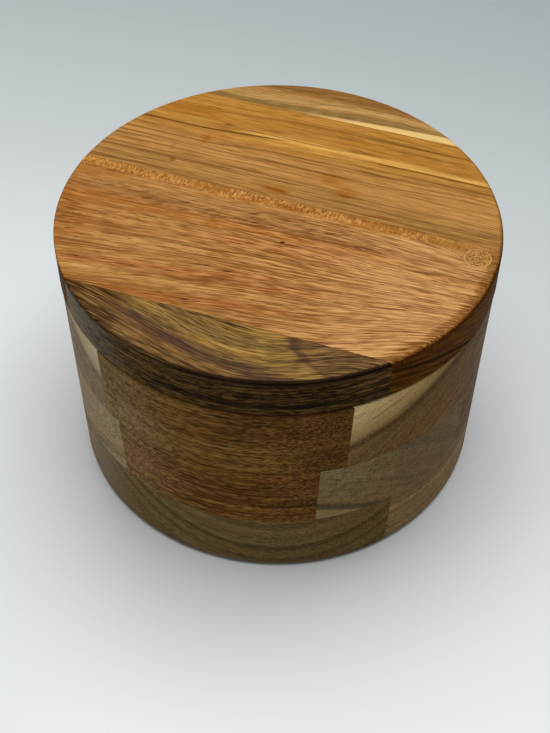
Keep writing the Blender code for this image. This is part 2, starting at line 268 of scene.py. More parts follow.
def half_section(board, inner, outer, side, closing):
    """Points of one side of the section at every slice, as slices by corners by x, y, z."""
    rim_end = outer if side > 0 else inner
    angle = np.arctan2(rim_end[:, 1], rim_end[:, 0])
    rings, heights = board.profile(angle)
    if closing:
        floor = heights[:, -1:]
        foot = np.full_like(floor, board.foot)
        rings = np.hstack([rings, np.zeros_like(floor), np.zeros_like(floor)])
        heights = np.hstack([heights, floor, foot])
    share = crossing(inner, outer, rings, side)[:, :, None]
    flat = inner[:, None] + share * (outer - inner)[:, None]
    lowest, highest = board.limits(np.linalg.norm(flat, axis=2), angle)
    heights = np.clip(heights, lowest, highest)
    point_end = np.linalg.norm(outer - inner, axis=1, keepdims=True) < MERGE_DISTANCE
    nearest = np.where(heights > (board.foot + board.top) / 2, highest, lowest)
    heights = np.where(point_end, nearest, heights)
    return np.dstack([flat, heights])


def shade_smooth(mesh):
    """Smooth shading with the real edges kept sharp."""
    mesh.shade_smooth()
    mesh.set_sharp_from_angle(angle=SHARP_ANGLE)


def closed_mesh(name, points, faces):
    """A mesh with its doubled points merged and its faces turned outward."""
    mesh = bpy.data.meshes.new(name)
    mesh.from_pydata(points.reshape(-1, 3), [], faces)
    shape = bmesh.new()
    shape.from_mesh(mesh)
    bmesh.ops.remove_doubles(shape, verts=shape.verts, dist=MERGE_DISTANCE)
    bmesh.ops.recalc_face_normals(shape, faces=shape.faces)
    shape.to_mesh(mesh)
    shape.free()
    shade_smooth(mesh)
    return mesh


def skin(name, grid):
    """Join a grid of closed sections, slice by slice, with a face at each end."""
    slices, corners = grid.shape[:2]
    index = np.arange(slices * corners).reshape(slices, corners)
    after = np.roll(index, -1, 1)
    quads = np.stack([index[:-1], index[1:], after[1:], after[:-1]], -1).reshape(-1, 4)
    return closed_mesh(name, grid, quads.tolist() + [index[0].tolist(), index[-1].tolist()])


def turned(points, turn):
    """Points turned about the upright axis through the origin."""
    c, s = math.cos(turn), math.sin(turn)
    x, y, z = np.moveaxis(points, -1, 0)
    return np.stack([x * c - y * s, x * s + y * c, z], -1)


def put(name, data):
    """Put a mesh, a camera or a lamp in the scene."""
    item = bpy.data.objects.new(name, data)
    bpy.context.scene.collection.objects.link(item)
    return item


pieces = {}


def new_piece(name, mesh, body):
    """Put a mesh in the scene under a body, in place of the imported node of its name."""
    piece = put(name, mesh)
    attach(piece, body)
    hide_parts(name)
    pieces[name] = piece
    print(name, len(mesh.polygons), "faces")


# %% [markdown]
# Four kinds of strip come out of a turned board. A segment is the cap that one
# joint cuts off. An arc is a C that is left where the well takes the middle
# away. A block is one half of a strip that the well cuts in two. A plank runs
# right across. Each kind only differs in where its slices start and end.

# %% Where the slices of each kind of strip lie
STEP = math.radians(0.8)


def spread(first, last, bends=()):
    """Angles from first to last in steps of about STEP, with the bends among them."""
    count = max(3, int(abs(last - first) / STEP))
    inside = [bend for bend in bends if first < bend < last]
    return np.unique(np.concatenate([np.linspace(first, last, count), inside]))


def ray(angle, ring):
    """Points at a distance from the centre in each direction."""
    return np.stack([np.cos(angle) * ring, np.sin(angle) * ring], 1)


def facing(joint):
    """Direction from the centre to the side that a joint lies on."""
    return math.copysign(math.pi / 2, joint)


def segment_slices(board, joint):
    """Radial slices; the inner end follows the joint, at joint / cos of the angle off the middle."""
    depth = abs(joint)
    half = math.acos(depth / board.radius)
    rings = np.array([ring for ring, _ in board.hollow] + [WELL_RADIUS])
    bends = np.arccos(depth / rings[rings > depth])
    off = spread(-half, half, [*bends, *-bends])
    near = np.maximum(depth / np.cos(off), board.bore)
    angle = facing(joint) + off
    return ray(angle, np.minimum(near, board.radius)), ray(angle, board.radius)


def arc_slices(board, joint, chord):
    """Slices that lie along the joint at both ends and turn to radial ones in the middle.

    Their outer ends stop at the chord, where another joint may cut the board.
    """
    inner_half = math.acos(abs(joint) / board.bore)
    outer_half = math.acos(abs(joint) / board.radius)
    bend = math.acos(chord / board.radius)
    off = spread(-outer_half, outer_half, [bend, -bend])
    far = np.minimum(board.radius, chord / np.maximum(np.cos(off), TINY))
    inner = ray(facing(joint) + off * inner_half / outer_half, board.bore)
    return inner, ray(facing(joint) + off, far)


def row_slices(board, edges, side=0):
    """Slices along the grain: from the well to the outside on one side, or right across the board.

    At a distance across, a ring is the root of ring squared less across squared away.
    """
    first, last = (math.asin(edge / board.radius) for edge in edges)
    across = board.radius * np.sin(spread(first, last))
    ends = [(side, board.bore), (side, board.radius)] if side else [(-1, board.radius), (1, board.radius)]
    return [np.stack([end * np.sqrt(np.maximum(ring**2 - across**2, 0)), across], 1)
            for end, ring in ends]


# Each kind of strip as a function of its board and its front and back edges.
KINDS = {
    "front segment": lambda board, front, back: segment_slices(board, back),
    "back segment": lambda board, front, back: segment_slices(board, front),
    "front arc": lambda board, front, back: arc_slices(board, back, -front),
    "back arc": lambda board, front, back: arc_slices(board, front, board.radius),
    "left block": lambda board, *edges: row_slices(board, edges, -1),
    "right block": lambda board, *edges: row_slices(board, edges, 1),
    "plank": lambda board, *edges: row_slices(board, edges),
}

# %% [markdown]
# With those, a strip is one row of a table, which is easier to check against
# the real box than nineteen calls. A strip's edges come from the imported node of
# the same name, moved out by the reach into the glue line.

# %% Make every strip
def strip(name, board, kind):
    """Make one strip of wood. A plank's section has two outer sides, any other has one."""
    front, back = strip_edges(name, board.turn)
    inner, outer = KINDS[kind](board, front - GLUE_REACH, back + GLUE_REACH)
    plank = kind == "plank"
    section = half_section(board, inner, outer, 1, closing=not plank)
    if plank:
        other = half_section(board, inner, outer, -1, closing=False)
        section = np.concatenate([section, other[:, ::-1]], 1)
    new_piece(name, skin(name, turned(section, board.turn)), LID if board is TOP else BODY)


for name, board, kind in (
    ("base_front_strip", BASE, "front segment"),
    ("base_back_strip", BASE, "back segment"),
    ("base_inner_front_strip", BASE, "plank"),
    ("base_inner_back_strip", BASE, "plank"),
    ("middle_front_segment", MIDDLE, "front segment"),
    ("middle_front_arc", MIDDLE, "front arc"),
    ("middle_back_arc", MIDDLE, "back arc"),
    ("rim_front_segment", RIM, "front segment"),
    ("rim_back_arc", RIM, "back arc"),
    ("middle_left_block", MIDDLE, "left block"),
    ("middle_right_block", MIDDLE, "right block"),
    ("rim_front_left_block", RIM, "left block"),
    ("rim_front_right_block", RIM, "right block"),
    ("rim_left_block", RIM, "left block"),
    ("rim_right_block", RIM, "right block"),
    ("lid_front_strip", TOP, "front segment"),
    ("lid_back_strip", TOP, "back segment"),
    ("lid_main_strip", TOP, "plank"),
    ("lid_rear_strip", TOP, "plank"),
):
    strip(name, board, kind)

# %% [markdown]
# Round parts, such as the plug, the screw, the washer and the magnets, are
# turned: a profile of (ring, height) corners is carried round an upright axis.
# The screw's thread is the same surface with its ring swelled by a wave that
# climbs one pitch a turn, which is what a thread is.

# %% Turned pieces
TURN_COUNT = 72


def lathe(name, profile, x, swell=None, closed=False):
    """Carry a profile round an upright axis at x: point (i, j) is ring j at angle i, height j.

    swell adds to the ring as a function of angle and height. An open profile
    starts and ends on the axis, where its points merge.
    """
    rings, heights = np.array(profile, float).T
    angle = np.linspace(0, math.tau, TURN_COUNT, endpoint=False)[:, None]
    ring = np.repeat(rings[None], TURN_COUNT, 0)
    if swell:
        ring = ring + swell(angle, heights[None]) * (ring > MERGE_DISTANCE)
    points = np.dstack([x + ring * np.cos(angle), ring * np.sin(angle),
                        np.repeat(heights[None], TURN_COUNT, 0)])
    index = np.arange(ring.size).reshape(ring.shape)
    if closed:
        index = np.hstack([index, index[:, :1]])
    after = np.roll(index, -1, 0)
    quads = np.stack([index[:, :-1], after[:, :-1], after[:, 1:], index[:, 1:]], -1)
    return closed_mesh(name, points, quads.reshape(-1, 4).tolist())


def drill(name, ring, low, high, x):
    """Take a plain round hole about an upright axis at x out of a piece."""
    piece, old = pieces[name], pieces[name].data
    bit = put("bit", lathe("bit", [(0, low), (ring, low), (ring, high), (0, high)], x))
    cut = piece.modifiers.new("Drill", "BOOLEAN")
    cut.operation = "DIFFERENCE"
    cut.object = bit
    graph = bpy.context.evaluated_depsgraph_get()
    mesh = bpy.data.meshes.new_from_object(piece.evaluated_get(graph))
    piece.modifiers.remove(cut)
    bpy.data.objects.remove(bit)
    piece.data = mesh
    bpy.data.meshes.remove(old)
    mesh.name = name
    shade_smooth(mesh)
    print("hole in", name, round(2 * ring / MM, 2), "mm across")


# %% [markdown]
# The holes come first: the counterbore and the screw's clearance hole in the
# lid, the pilot hole in the rim, and a blind pocket for each magnet. The plug
# is glued into its counterbore, so that hole is cut a hair wider than the plug.
# The slices of a strip know nothing of a hole, so a Boolean modifier takes it
# out, as a drill does, and its result is kept as the piece's mesh.

# %% Drill the lid and the rim
BREAK_THROUGH = 1.0 * MM
FIT_GAP = 0.3 * MM
PLUG_LINE = 0.06 * MM
PILOT_ROOM = 0.1 * MM
SHANK_RADIUS = 1.75 * MM
washer_low, washer_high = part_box("pivot_washer")
screw_low, screw_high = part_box("pivot_screw")
PLUG_RADIUS = span("pivot_plug")[1] / 2
SHANK_HOLE = SHANK_RADIUS + FIT_GAP
WEB_TOP = washer_low.z - FIT_GAP
POCKET_RADIUS = MAGNET_WIDTH / 2 + FIT_GAP

lid_below, lid_above = TOP.foot - BREAK_THROUGH, TOP.top + BREAK_THROUGH
rim_above = RIM.top + BREAK_THROUGH
drill("lid_main_strip", PLUG_RADIUS + PLUG_LINE, WEB_TOP, lid_above, PIVOT_X)
drill("lid_main_strip", SHANK_HOLE, lid_below, WEB_TOP + BREAK_THROUGH, PIVOT_X)
drill("lid_main_strip", POCKET_RADIUS, lid_below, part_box("lid_magnet")[1].z + FIT_GAP, MAGNET_X)
drill("rim_right_block", SHANK_RADIUS + PILOT_ROOM, screw_low.z - BREAK_THROUGH, rim_above, PIVOT_X)
drill("rim_left_block", POCKET_RADIUS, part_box("box_magnet")[0].z - FIT_GAP, rim_above, MAGNET_X)

# %% [markdown]
# The plug is cut across the grain, so its end grain shows at the top. The
# screw has a domed head, a plain neck, and a thread that fades out toward the
# neck. The plug, the washer and the two magnets are discs with broken edges.

# %% Plug, screw, washer and magnets
PLUG_EDGE = 0.05 * MM
WASHER_EDGE = 0.1 * MM
MAGNET_EDGE = 0.15 * MM
THREAD_PITCH = 1.4 * MM
THREAD_DEPTH = 0.35 * MM
THREAD_TOP = screw_high.z - 5.0 * MM
THREAD_FADE = 1.0 * MM
THREAD_STEPS = 120
CREST_SHARPNESS = 1.5
SCREW_POINT = 3.0 * MM
SCREW_TIP = 0.5 * MM, 0.6 * MM
DOME_STEPS = 9
DOME_FLAT = 0.62
DOME_FOOT = 0.35


def disc(name, body, x, edge, hole=0):
    """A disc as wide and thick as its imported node, with both edges broken and perhaps a hole."""
    low, high = (end.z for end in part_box(name))
    ring = span(name)[1] / 2
    profile = [(hole, low), (ring - edge, low), (ring, low + edge),
               (ring, high - edge), (ring - edge, high), (hole, high)]
    new_piece(name, lathe(name, profile, x, closed=hole > 0), body)


def thread(angle, height):
    """A rounded ridge that climbs one pitch a turn, fading out at the neck."""
    phase = height / THREAD_PITCH - angle / math.tau
    ridge = (0.5 + 0.5 * np.cos(math.tau * phase)) ** CREST_SHARPNESS
    neck = np.clip((THREAD_TOP - height) / THREAD_FADE, 0, 1)
    return (ridge - 1) * THREAD_DEPTH * neck


def screw_profile():
    """Point, threaded shank, neck and a head whose dome is a quarter of an ellipse."""
    head_low = washer_high.z + FIT_GAP
    head_height = screw_high.z - head_low
    tip = [(0, screw_low.z), (SCREW_TIP[0], screw_low.z + SCREW_TIP[1])]
    shank = np.linspace(screw_low.z + SCREW_POINT, head_low, THREAD_STEPS)
    dome = [(HEAD_WIDTH / 2 * (DOME_FLAT + (1 - DOME_FLAT) * math.cos(a)),
             head_low + head_height * (DOME_FOOT + (1 - DOME_FOOT) * math.sin(a)))
            for a in np.radians(np.linspace(0, 90, DOME_STEPS))[1:]]
    return tip + [(SHANK_RADIUS, height) for height in shank] + dome + [(0, screw_high.z)]


disc("pivot_plug", LID, PIVOT_X, PLUG_EDGE)
new_piece("pivot_screw", lathe("pivot_screw", screw_profile(), PIVOT_X, thread), BODY)
disc("pivot_washer", BODY, PIVOT_X, WASHER_EDGE, hole=SHANK_HOLE)
disc("box_magnet", BODY, MAGNET_X, MAGNET_EDGE)
disc("lid_magnet", LID, MAGNET_X, MAGNET_EDGE)

# %% [markdown]
# Materials are written as sums. A small class wraps a socket, so that adding,
# multiplying two of them or taking the larger adds a Math node and gives back
# the result, and one method adds every other kind of node. The same nodes could
# be added and linked one by one, but a sum says at a glance what the pattern is.

# %% Sums of sockets
def maths(operation, reflected=False):
    """An operator that adds a Math node of an operation, for the two values it stands between."""

    def operator(self, other=0):
        pair = (other, self) if reflected else (self, other)
        return self.finish.node("ShaderNodeMath", {"operation": operation}, *pair)

    return operator


class Wire:
    """A value in a material. Sums with numbers or other wires add Math nodes."""

    def __init__(self, finish, socket):
        self.finish, self.socket = finish, socket

    __add__ = __radd__ = maths("ADD")
    __sub__, __rsub__ = maths("SUBTRACT"), maths("SUBTRACT", True)
    __mul__ = __rmul__ = maths("MULTIPLY")
    __truediv__, __rtruediv__ = maths("DIVIDE"), maths("DIVIDE", True)
    __abs__ = maths("ABSOLUTE")


class Finish:
    """One material and the means to add nodes to it."""

    def __init__(self, name):
        self.material = bpy.data.materials.new(name)
        self.material.use_nodes = True
        self.tree = self.material.node_tree
        self.shader = self.tree.nodes["Principled BSDF"]

    def set(self, socket, value):
        """Link a wire to a socket, or give the socket a plain value."""
        if isinstance(value, Wire):
            self.tree.links.new(value.socket, socket)
        else:
            socket.default_value = value

    def node(self, kind, settings, *values, output=0, **named):
        """Add a node: its type, its settings, then its sockets by place or by name."""
        node = self.tree.nodes.new(kind)
        for key, value in settings.items():
            if key == "stops":
                set_stops(node.color_ramp, value)
            else:
                setattr(node, key, value)
        for key, value in [*enumerate(values), *named.items()]:
            self.set(node.inputs[key], value)
        return Wire(self, node.outputs[output])

    def surface(self, **values):
        """Fill the sockets of the Principled shader; a name's underscores stand for spaces."""
        for key, value in values.items():
            self.set(self.shader.inputs[key.replace("_", " ")], value)

    def cover(self, *names, slot=None):
        """Put the material on the named pieces and print its name with theirs; slot is not used."""
        for name in names:
            pieces[name].data.materials.clear()
            pieces[name].data.materials.append(self.material)
        print(self.material.name, "on", *names)


def paint(red, green, blue):
    """A colour as the screen shows it, 0 to 255, made linear for a shader by the sRGB curve."""
    shares = np.array([red, green, blue]) / 255
    linear = np.where(shares <= 0.04045, shares / 12.92, ((shares + 0.055) / 1.055) ** 2.4)
    return (*linear.tolist(), 1.0)


def set_stops(ramp, stops):
    """Give a colour ramp its (place, colour) stops."""
    while len(ramp.elements) < len(stops):
        ramp.elements.new(1.0)
    for element, (place, colour) in zip(ramp.elements, stops):
        element.position = place
        element.color = colour


# %% [markdown]
# Wood grain is a set of long, thin things: rings that run lengthwise round the
# tree's middle, fibres, and pores that show as dark dashes. All of them are
# worked out in three dimensions from the object's own coordinates in
# millimetres, stretched along the grain, so that a cut in any direction shows
# what a real cut would: lines on a long face, specks on end grain.

# %% Shapes that the grain is made of
def rise(wire, low, high):
    """0 below low, 1 above high and a smooth step between, or the reverse where low is the larger."""
    return wire.finish.node("ShaderNodeMapRange", {"interpolation_type": "SMOOTHSTEP"}, wire, low, high)


def band(wire, place, half, soft):
    """1 within half of a place, and 0 from soft further out."""
    return rise(abs(wire - place), half + soft, half)


def along(wire, first, last, fade):
    """1 from first to last, with a fade of the given length beyond each end."""
    return rise(wire, first - fade, first) * rise(wire, last + fade, last)


most = maths("MAXIMUM")


def blend(first, second, share, kind="MIX"):
    """Mix a second colour into a first by a share. A colour of three values is what the screen shows."""
    colours = [paint(*colour) if isinstance(colour, tuple) and len(colour) == 3 else colour
               for colour in (first, second)]
    mix = share.finish.node("ShaderNodeMix", {"data_type": "RGBA", "blend_type": kind}, share, output=2)
    for socket, colour in zip(mix.socket.node.inputs[6:8], colours):
        share.finish.set(socket, colour)
    return mix


def join(x, y, z):
    """A vector from three values."""
    finish = next(part.finish for part in (x, y, z) if isinstance(part, Wire))
    return finish.node("ShaderNodeCombineXYZ", {}, x, y, z)


def noise(x, y, z, detail=2, roughness=0.5):
    """Soft noise of about 0 to 1, with one swell in each unit of its three values."""
    return x.finish.node("ShaderNodeTexNoise", {}, Vector=join(x, y, z), Scale=1, Detail=detail,
                         Roughness=roughness)


def split(vector):
    """The three values of a vector."""
    first = vector.finish.node("ShaderNodeSeparateXYZ", {}, vector)
    return [Wire(vector.finish, socket) for socket in first.socket.node.outputs]


def reach(x, y):
    """Distance from the middle of a pair of values."""
    return x.finish.node("ShaderNodeVectorMath", {"operation": "LENGTH"}, join(x, y, 0), output="Value")


# %% [markdown]
# One class holds what all the strips share. It finds the place in the board's
# own frame, bends it to the fibres' course, and lays rings, fibres and pores
# over one another. A strip then only says where its tree stood, what colours
# its rings have, and which marks of its own it carries.

# %% Wood
RING_PLACES = 0.32, 0.5, 0.68
PORE_DEPTH = 0.04 * MM
# Each set of thin lines has a length, a width, a thinness, a shift of its noise and a share.
LINE_SETS = (34, 1.5, 0.045, 43, 1.2), (22, 0.9, 0.06, 61, 0.9), (12, 0.6, 0.07, 79, 0.7)


class Wood(Finish):
    """A strip of wood: x runs along the grain, y across it and z up, in millimetres."""

    def __init__(self, name, turn, seed, pith=(0, -60), dive=0, wander=2, course=None, run=1.2, fine=0.42):
        super().__init__(name)
        self.seed, self.turn = seed, turn
        place = self.node("ShaderNodeMapping", {"vector_type": "TEXTURE"},
                          self.node("ShaderNodeTexCoord", {}, output="Object"),
                          Rotation=(0, 0, turn), Scale=(MM, MM, MM))
        self.place = self.x, self.y, self.z = split(place)
        self.normal = split(self.node("ShaderNodeTexCoord", {}, output="Normal"))
        self.slow = noise(self.x * 0.013 + seed, self.y * 0.05, self.z * 0.05) - 0.5
        across = self.y - course(self.x, self.y) if course else self.y
        self.u = across + self.slow * wander
        self.w = self.z - self.x * dive + self.slow * wander
        self.ring = reach(self.u - pith[0], self.w - pith[1])
        self.run = run
        self.short = self.streaks(7, 0.42, 2, 0.6, 31)
        self.hair = self.streaks(2.4, fine, 1, 0.5, 57)

    def ramp(self, wire, stops):
        """Colours at places along a value."""
        return self.node("ShaderNodeValToRGB", {"stops": [(at, paint(*tone)) for at, tone in stops]}, wire)

    def rings(self, width, tones, detail=4, roughness=0.65, places=RING_PLACES):
        """Start with uneven rings: a ramp of tones along the distance from the pith, in ring widths."""
        uneven = self.node("ShaderNodeTexNoise", {"noise_dimensions": "1D"}, Scale=1, Detail=detail,
                           W=self.ring / width + self.seed, Roughness=roughness)
        self.colour = self.ramp(uneven, zip(places, tones))

    def lay(self, tone, share, kind="MIX"):
        """Lay a tone over the strip's colour by a share."""
        self.colour = blend(self.colour, tone, share, kind)

    def streaks(self, length, width, detail=3, roughness=0.6, shift=0):
        """Noise in streaks of a length along the grain and a width across it, in millimetres."""
        x = self.x / (length * self.run) + (self.seed + shift)
        return noise(x, self.u / width, self.w / width, detail, roughness)

    def dashes(self, length, width, share, shift=0, climb=0):
        """Separate dark pores: cells of a length and width with a dash of a share of each."""
        across = (self.u - self.x * climb) / width
        vector = join(self.x / length + (self.seed + shift), across, self.w / width)
        cell = self.node("ShaderNodeTexVoronoi", {}, Vector=vector, Scale=1, Randomness=1,
                         output="Distance")
        return rise(cell, share, share * 0.45)

    def marks(self, places, height="y"):
        """Frayed dark smudges: (x, across, half length, half width, slope, strength) each, on a face."""
        total = None
        for x, across, half_length, half_width, slope, strength in places:
            from_x = self.x - x
            from_y = (self.z if height == "z" else self.y) - across - from_x * slope
            mark = rise(reach(from_x / half_length, from_y / half_width), 1.3, 0.1) * strength
            total = most(total, mark) if total else mark
        return rise(total + (self.short - 0.5) * 1.6 * rise(total, 0, 0.3), 0.25, 0.95)

    def facing_out(self):
        """How upright the face is: 0 on the level faces and 1 on the sides."""
        return rise(abs(self.normal[2]), 0.99, 0.45)

    def grain(self, dark, light, lines, fibre):
        """Lay broad streaks, single fibres and thin lines over the colour.

        A thin line runs wherever a stretched noise passes its middle.
        """
        broad = self.streaks(30, 1.6, 3, 0.6, 11)
        for value, share in (broad, lines * 0.3), (self.short, fibre * 0.4), (self.hair, fibre * 0.7):
            self.lay(dark, rise(value, 0.5, 0.66) * share)
            self.lay(light, rise(value, 0.5, 0.34) * (share * 0.5))
        for length, width, thin, shift, share in LINE_SETS:
            off_middle = abs(self.streaks(length, width, 1.5, 0.5, shift) - 0.5)
            coming = rise(self.streaks(length * 1.3, width * 2, 2, 0.5, shift + 5), 0.42, 0.6)
            self.lay(dark, rise(off_middle, thin, thin * 0.2) * coming * (lines * share))

    def seal(self, pore_tone, pores=0.5, side=None, end=(0.8, 0.7, 0.6), oil=0.12):
        """Open the pores, darken the upright sides by a tone that is partly their own darker wood and
        partly painted shade, darken the end grain, and oil the surface.

        The end grain shows where the face cuts across the fibres, which run along the board's turn.
        """
        x, y, _ = self.normal
        end_grain = rise(abs(x * math.cos(self.turn) + y * math.sin(self.turn)), 0.2, 0.98)
        pore = self.dashes(2.8, 0.55, 0.36, 71) * rise(self.short, 0.47, 0.56)
        self.lay(pore_tone, pore * pores)
        # The side tone multiplies every upright face: partly the wood's own darker side, partly painted
        # shade.
        if side:
            self.lay((*side, 1), self.facing_out(), "MULTIPLY")
        self.lay((*end, 1), end_grain, "MULTIPLY")
        height = (0.5 - self.short) * 0.4 + (0.5 - self.hair) * 0.3 - pore * 0.6
        bump = self.node("ShaderNodeBump", {}, Strength=0.4, Distance=PORE_DEPTH, Height=height)
        self.surface(Base_Color=self.colour, Roughness=0.5 + self.hair * 0.16 + pore * 0.15, Normal=bump,
                     Specular_IOR_Level=0.01, Coat_Weight=oil, Coat_IOR=1.15, Coat_Roughness=0.2)


# %% [markdown]
# The widest strip of the lid is caramel wood with short dark pores. Its grain
# lies flat along the back and climbs to the right along the front. At its back
# edge the ray flecks show as a narrow band of cross stripes. A flat picture of
# a board would stop at the edge. Here a small function bends the fibres all
# through the wood, and whatever is laid along them follows it.

# %% Main strip of the lid
MAIN_MARKS = [
    (-38, -4.6, 4.5, 1, 0.15, 0.8), (-31, -5.2, 3.5, 1, 0.3, 0.8), (-21, -3.2, 5.5, 1.5, 0.3, 0.9),
    (-5, -2.2, 4.5, 1.9, 0.2, 0.8), (-5, -4.6, 4.5, 0.8, 0.05, 0.9), (-9, -6.1, 3, 0.8, 0.1, 0.8),
    (18, -2.2, 3, 0.8, 0.1, 0.6), (12, -3.4, 4, 0.7, -0.05, 0.4), (31, -3.4, 5, 0.9, 0.2, 0.6),
    (-3, -11.8, 4.5, 0.9, 0, 0.6), (-28, -11, 9, 1, 0, 0.5), (-12, -23, 4.5, 1.1, 0.35, 0.8),
    (-5, -22.6, 3.6, 1.4, 0.35, 0.8), (11, -20.8, 6, 0.9, 0.1, 0.6), (32, -31, 7, 1.2, 0.15, 0.6),
    (-41, -30, 7, 1.2, 0.05, 0.6), (-34, -32, 6, 1, 0.05, 0.6), (-9, -34.8, 5.5, 0.9, 0.2, 0.9),
    (-52, -12, 4, 0.9, 0, 0.6), (-47, -19, 7, 0.9, 0, 0.6), (24, -19, 5, 0.8, 0.1, 0.5),
]


def main_course(x, y):
    """The fibres' climb: dipping a little at the back right, growing to 1 in 7 or more in front."""
    front = rise(y, -8, -34)
    right = rise(x, 10, 52)
    back = rise(y, -8, 2) * right
    return front * x * 0.14 + right * front * (x - 10) * 0.16 - back * (x - 10) * 0.08 + (x + 20) * 0.025


wood = Wood("lid_main_wood", LID_TURN, 3.1, pith=(-51, -11), course=main_course, wander=2.5,
            run=2.2, fine=0.36)
x, y, z = wood.place
wood.rings(2.4, [(182, 137, 77), (168, 119, 62), (146, 96, 46)])
patches = wood.streaks(40, 5, 2, 0.5, 7)
wood.lay((162, 97, 47), rise(patches, 0.46, 0.66) * 0.6)
wood.lay((156, 95, 32), rise(x, -34, -56) * 0.6)
wood.lay((202, 153, 95), rise(x, 2, 42) * 0.8)
wood.lay((169, 104, 34), band(wood.u, -8.5, 1.2, 2) * rise(patches, 0.6, 0.42) * 0.45)
wood.lay((146, 98, 55), band(wood.u, -3.6, 2, 1.5) * 0.4)
coarser = rise(x, -34, 10)
wood.grain((98, 52, 16), (226, 178, 118), coarser * 0.14 + 0.44, coarser * 0.4 + 0.45)
vessels = wood.dashes(7, 0.62, 0.34, 83) * rise(y, 0, -12)
wood.lay((84, 44, 14), vessels * rise(patches, 0.36, 0.52) * 0.6)
smudges = wood.dashes(3.8, 1.1, 0.55, 13, climb=0.28)
here = most(wood.marks(MAIN_MARKS), band(wood.u, -4, 1.4, 1.8) * along(x, -42, 20, 14) * 0.5)
wood.lay((74, 38, 16), here * (smudges * 0.85 + 0.1))
wood.lay((70, 28, 6), wood.marks([(4.1, -9.1, 0.9, 0.5, 0.3, 1.6)]))
comb = noise(x / 0.36 + wood.slow * 3, y / 1.4, z / 2, 2, 0.6)
ragged = wood.streaks(5, 1.2, 3, 0.7, 41) - 0.5
fleck = wood.ramp(comb, [(0.36, (204, 152, 84)), (0.5, (168, 114, 48)), (0.64, (118, 68, 20))])
rusty = noise(x / 6, y / 3, z)
fleck = blend(fleck, (134, 78, 8), rise(rusty, 0.46, 0.62) * (along(x, -14, 38, 8) * 0.5 + 0.25))
fleck = blend(fleck, (146, 100, 42), rise(x, 28, 42) * 0.6)
wood.lay(fleck, rise(y + ragged * 5, 1.4, 2.9) * 0.75)
# Painted shade: the rounded right front edge and a band just inside it darken, frayed along the fibres.
painted_edge_shade = rise(reach(x, y) + (wood.short - 0.5) * 5, 51.9, 53) * rise(x, 4, 30) * rise(y, 14, -2)
wood.lay((108, 62, 14), painted_edge_shade * (rise(wood.hair, 0.36, 0.58) * 0.5 + 0.4))
level = z - 70.2 + (y + 39) * 0.34 + wood.slow * 1.5
below = rise(z, 71.8, 70.6) * wood.facing_out()
layer = noise(x / 9, y / 9, level / 0.8, 3, 0.6)
wood.lay((196, 160, 84), below * (rise(layer, 0.56, 0.36) * 0.6 + 0.2))
wood.lay((112, 70, 18), below * rise(layer, 0.5, 0.64) * 0.6)
for place, half, share in ((0, 0.2, 0.85), (1.6, 0.1, 0.4), (-2.4, 0.1, 0.4), (-4.6, 0.15, 0.5)):
    wood.lay((64, 28, 4), band(level, place, half, 0.6) * below * share)
# The strong side tone is partly the lid's darker side grain and partly painted shade on its rim.
wood.seal((66, 34, 14), pores=0.45, side=(0.31, 0.21, 0.012), end=(0.92, 0.86, 0.72), oil=0.02)
wood.cover("lid_main_strip")

# %% [markdown]
# The rear strip is golden, with straight dark lines that run its whole length.
# Toward the front they crowd together and turn a little grey. Noise alone never
# makes a line that long, so the clearest ones are rows of a table: a path
# across the strip, a half width, the first and last x, and a share.

# %% Rear strip of the lid
REAR_MARKS = [
    (-33, 11.3, 1.3, 1.3, 0, 1), (-35, 16, 1.2, 3.5, 0, 0.45), (-28, 22.8, 1, 2, 0, 0.5),
    (-11, 14, 5, 1, 0, 0.6), (3, 17, 3, 3, 0, 0.5), (13, 12.2, 2.4, 1.4, 0, 0.7),
    (-4, 8.7, 5, 0.8, 0, 1), (-8, 6.7, 5, 0.6, 0, 0.9), (24, 7.7, 6, 0.8, 0, 0.8),
    (-9, 39.7, 3, 0.7, 0, 0.5), (-12, 31, 4, 0.7, 0, 0.6),
]

wood = Wood("lid_rear_wood", LID_TURN, 11.7, pith=(24, -90), wander=3, run=2, fine=0.26)
x, y, z = wood.place
u = y + wood.slow * 2
wood.rings(5, [(186, 139, 69), (172, 123, 55), (159, 107, 43), (132, 85, 30)], 5, 0.7,
           places=(0.32, 0.48, 0.6, 0.72))
wood.lay((170, 118, 44), rise(y, 24, 32) * 0.5)
near = rise(y, 17, 9)
wood.lay((188, 140, 84), rise(y, 27, 19) * 0.45)
wood.lay((145, 107, 57), near * 0.45)
wood.lay((155, 96, 19), band(u, 33, 1.2, 2) * along(x, -46, -32, 10) * 0.7)
wood.lay((201, 151, 68), band(u, 26.2, 0.4, 1.3) * along(x, -16, 10, 16) * 0.5)
wood.lay((222, 172, 88), band(u, 28.6, 0.4, 1.3) * along(x, -12, 44, 14) * 0.7)
for place, across, wide in ((13, 13.5, 5), (8, 17.5, 5), (-4, 9, 5), (-28, 22.5, 2)):
    wood.lay((156, 94, 16), rise(reach((x - place) / wide, (y - across) / 3.2), 1.2, 0.1) * 0.7)
wood.lay((98, 66, 32), rise(wood.streaks(24, 0.5, 4, 0.7, 5), 0.5, 0.6) * (near * 0.65 + 0.15))
wood.grain((92, 54, 18), (220, 170, 96), lines=0.42, fibre=0.36)
